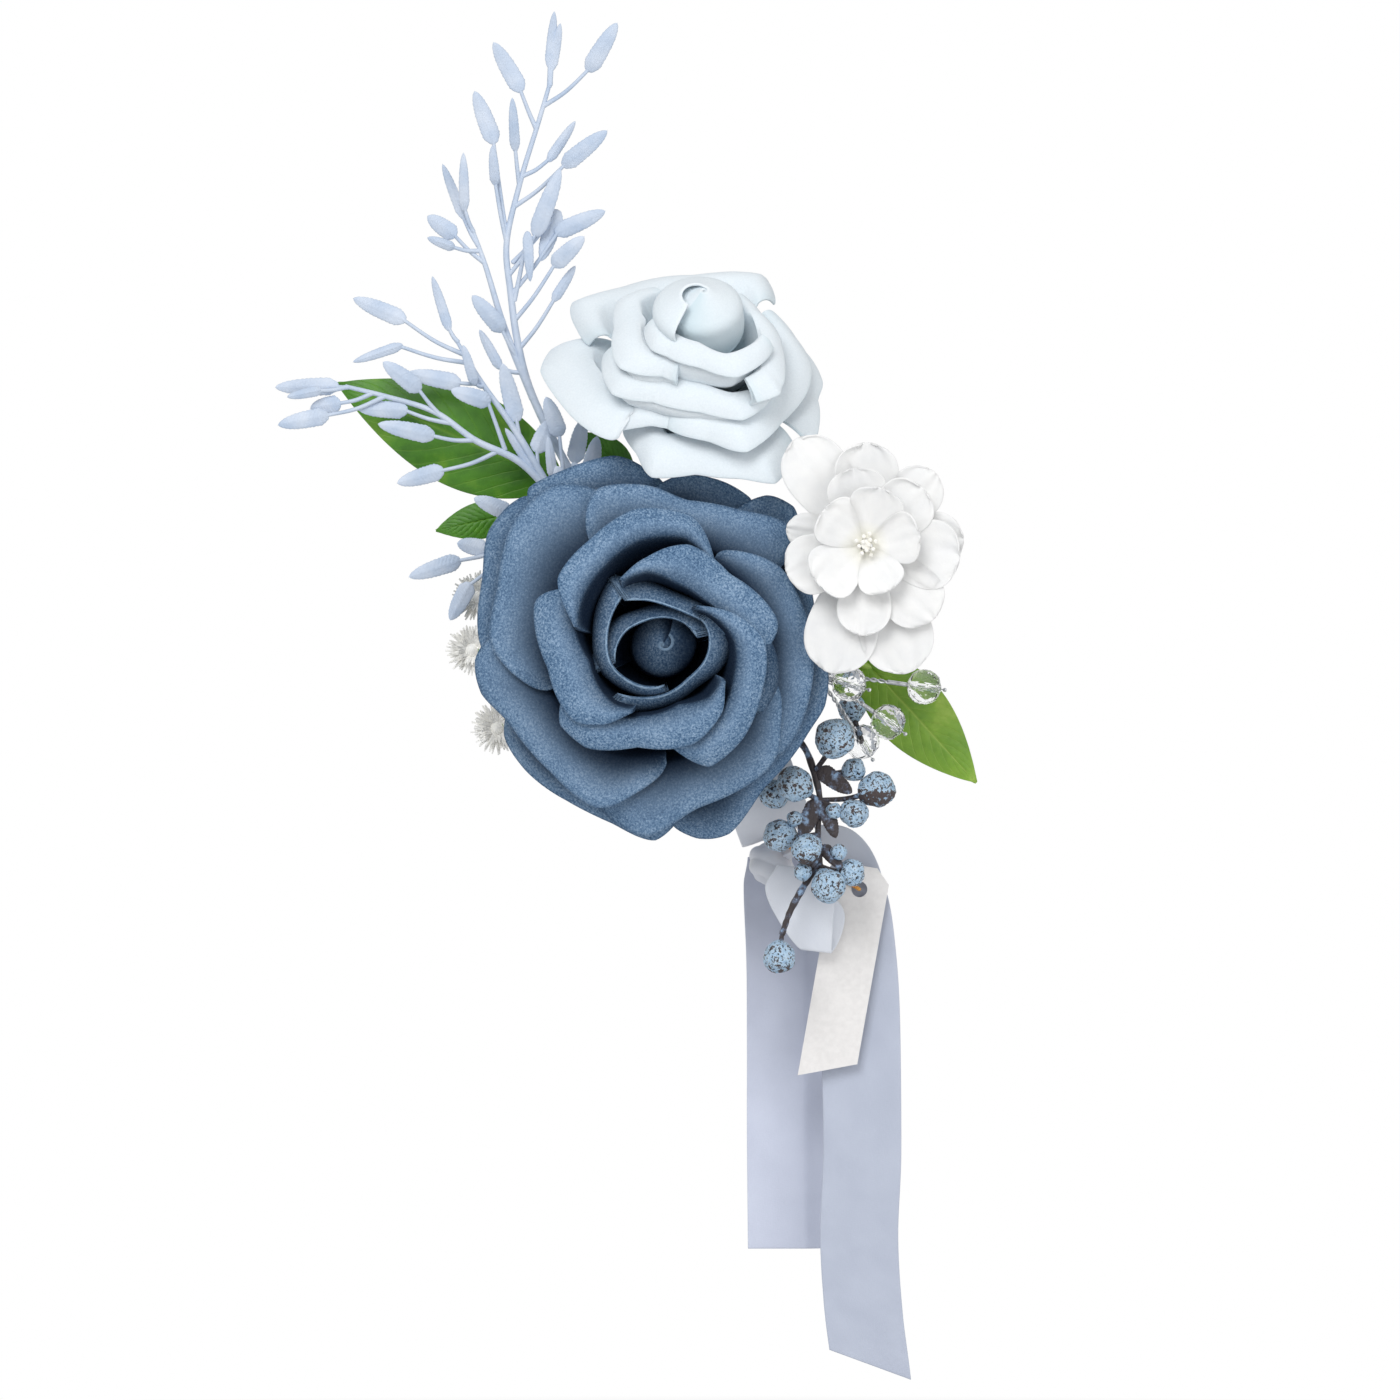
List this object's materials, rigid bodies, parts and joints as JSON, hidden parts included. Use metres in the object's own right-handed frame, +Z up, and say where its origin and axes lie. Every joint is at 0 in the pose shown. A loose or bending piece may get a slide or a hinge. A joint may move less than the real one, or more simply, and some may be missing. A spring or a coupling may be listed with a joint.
{
  "type": "wrist corsage",
  "caption": "Wrist corsage with a large blue foam rose, a smaller pale rose, fabric blossom, leaves, sprigs, berries, crystal beads and a satin ribbon band with hanging tails and a card tag.",
  "frame": {"origin": "on the axis of the wrist, in the middle of the ribbon band", "axes": "+Z up towards the tall sprig, -Y out of the flowers' faces, +X to the right seen from the front; the wrist's axis lies 20 degrees up from +X in the XZ plane"},
  "size_m": [0.1513, 0.0875, 0.2858],
  "materials": {
    "blue_foam": "matte dusty blue foam, finely speckled",
    "pale_foam": "matte bluish white foam",
    "white_silk": "stiffened white fabric",
    "stamens": "matte cream",
    "leaf_green": "soft sheen green",
    "sprig_blue": "soft sheen pale blue plastic",
    "berry_blue": "light blue with dark speckles, dark brown stems",
    "crystal": "clear, cut in facets",
    "silver_wire": "bright twisted wire",
    "satin": "pale blue satin",
    "card": "plain off-white card, unprinted",
    "gold_thread": "orange-gold thread",
    "white_felt": "white felt"
  },
  "bodies": {
    "corsage": {"back_blossom_petals": "white_silk", "berry_spray": "berry_blue", "blossom_centre": "stamens", "blossom_inner_petals": "white_silk", "blossom_outer_petals": "white_silk", "blue_rose_bud": "blue_foam", "blue_rose_core": "leaf_green", "blue_rose_inner_petal_1": "blue_foam", "blue_rose_inner_petal_2": "blue_foam", "blue_rose_inner_petal_3": "blue_foam", "blue_rose_last_petal_1": "blue_foam", "blue_rose_last_petal_2": "blue_foam", "blue_rose_last_petal_3": "blue_foam", "blue_rose_last_petal_4": "blue_foam", "blue_rose_last_petal_5": "blue_foam", "blue_rose_last_petal_6": "blue_foam", "blue_rose_middle_petal_1": "blue_foam", "blue_rose_middle_petal_2": "blue_foam", "blue_rose_middle_petal_3": "blue_foam", "blue_rose_middle_petal_4": "blue_foam", "blue_rose_middle_petal_5": "blue_foam", "blue_rose_outer_petal_1": "blue_foam", "blue_rose_outer_petal_2": "blue_foam", "blue_rose_outer_petal_3": "blue_foam", "blue_rose_outer_petal_4": "blue_foam", "blue_rose_outer_petal_5": "blue_foam", "blue_rose_wrap_petal_1": "blue_foam", "crystal_wire": "silver_wire", "floret_lower": "white_silk", "floret_upper": "white_silk", "leaf_left_lower": "leaf_green", "leaf_left_upper": "leaf_green", "leaf_middle": "leaf_green", "leaf_right": "leaf_green", "lower_felt_pad": "white_felt", "pale_rose_bud": "pale_foam", "pale_rose_core": "leaf_green", "pale_rose_fourth_petal_1": "pale_foam", "pale_rose_fourth_petal_2": "pale_foam", "pale_rose_inner_petal_1": "pale_foam", "pale_rose_last_petal_1": "pale_foam", "pale_rose_last_petal_2": "pale_foam", "pale_rose_outer_petal_1": "pale_foam", "pale_rose_second_petal_1": "pale_foam", "pale_rose_second_petal_2": "pale_foam", "pale_rose_third_petal_1": "pale_foam", "plastic_sprig_left": "sprig_blue", "plastic_sprig_tall": "sprig_blue", "ribbon_bow_loop": "satin", "ribbon_knot": "satin", "ribbon_wrist_band": "satin", "upper_felt_pad": "white_felt"},
    "short_tail": {"ribbon_tail_short": "satin"},
    "long_tail": {"ribbon_tail_long": "satin"},
    "thread": {"tag_thread": "gold_thread"},
    "tag": {"card_hang_tag": "card"},
    "bead_1": {"crystal_bead_1": "crystal"},
    "bead_2": {"crystal_bead_2": "crystal"},
    "bead_3": {"crystal_bead_3": "crystal"},
    "bead_4": {"crystal_bead_4": "crystal"}
  },
  "joints": [
    {"name": "short_tail_swing", "type": "hinge", "parent": "corsage", "child": "short_tail", "pos_m": [0.0093, 0.0019, -0.0295], "axis": [0, 1, 0], "range_deg": [-12, 12]},
    {"name": "long_tail_swing", "type": "hinge", "parent": "corsage", "child": "long_tail", "pos_m": [0.01852, -0.011, -0.02737], "axis": [0, 1, 0], "range_deg": [-20, 20]},
    {"name": "thread_swing", "type": "hinge", "parent": "corsage", "child": "thread", "pos_m": [0.01341, -0.0075, -0.03021], "axis": [0, 1, 0], "range_deg": [-7, 7]},
    {"name": "tag_swing", "type": "hinge", "parent": "thread", "child": "tag", "pos_m": [0.02694, -0.0136, -0.03831], "axis": [0, 1, 0], "range_deg": [-15, 15]},
    {"name": "bead_1_spin", "type": "hinge", "parent": "corsage", "child": "bead_1", "pos_m": [0.02463, -0.036, 0.00505], "axis": [0.9588, 0, -0.2841], "continuous": true},
    {"name": "bead_2_spin", "type": "hinge", "parent": "corsage", "child": "bead_2", "pos_m": [0.04042, -0.031, 0.00442], "axis": [0.9905, 0, -0.1376], "continuous": true},
    {"name": "bead_3_spin", "type": "hinge", "parent": "corsage", "child": "bead_3", "pos_m": [0.03284, -0.033, -0.00295], "axis": [0.8222, 0, -0.5692], "continuous": true},
    {"name": "bead_4_spin", "type": "hinge", "parent": "corsage", "child": "bead_4", "pos_m": [0.02737, -0.026, -0.00716], "axis": [0.5241, 0, -0.8517], "continuous": true}
  ]
}
